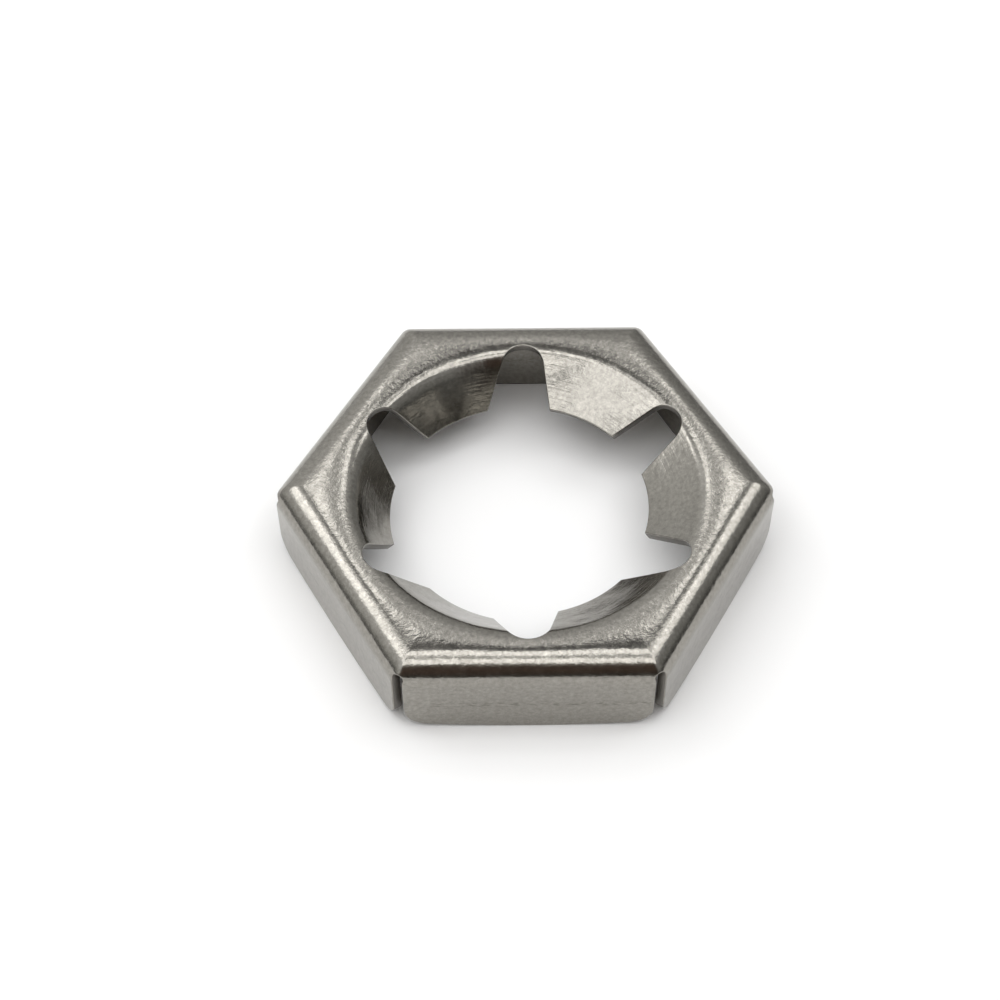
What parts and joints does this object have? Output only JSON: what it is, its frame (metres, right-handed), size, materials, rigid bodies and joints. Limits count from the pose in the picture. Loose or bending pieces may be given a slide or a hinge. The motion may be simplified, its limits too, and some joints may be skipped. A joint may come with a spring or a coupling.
{
  "type": "stamped lock nut",
  "caption": "Hexagonal lock nut pressed from spring sheet, open below, with spring tongues round its hole that grip the bolt's thread.",
  "frame": {"origin": "centre of the hole in the plane that the nut stands on", "axes": "+Z out of the closed face, +X towards a corner of the hexagon, -Y out of the flange at the front"},
  "size_m": [0.0342, 0.03, 0.0068],
  "materials": {
    "spring_sheet": "satin, as rolled and pressed"
  },
  "bodies": {
    "root": {"lock_nut": "spring_sheet"}
  },
  "joints": []
}
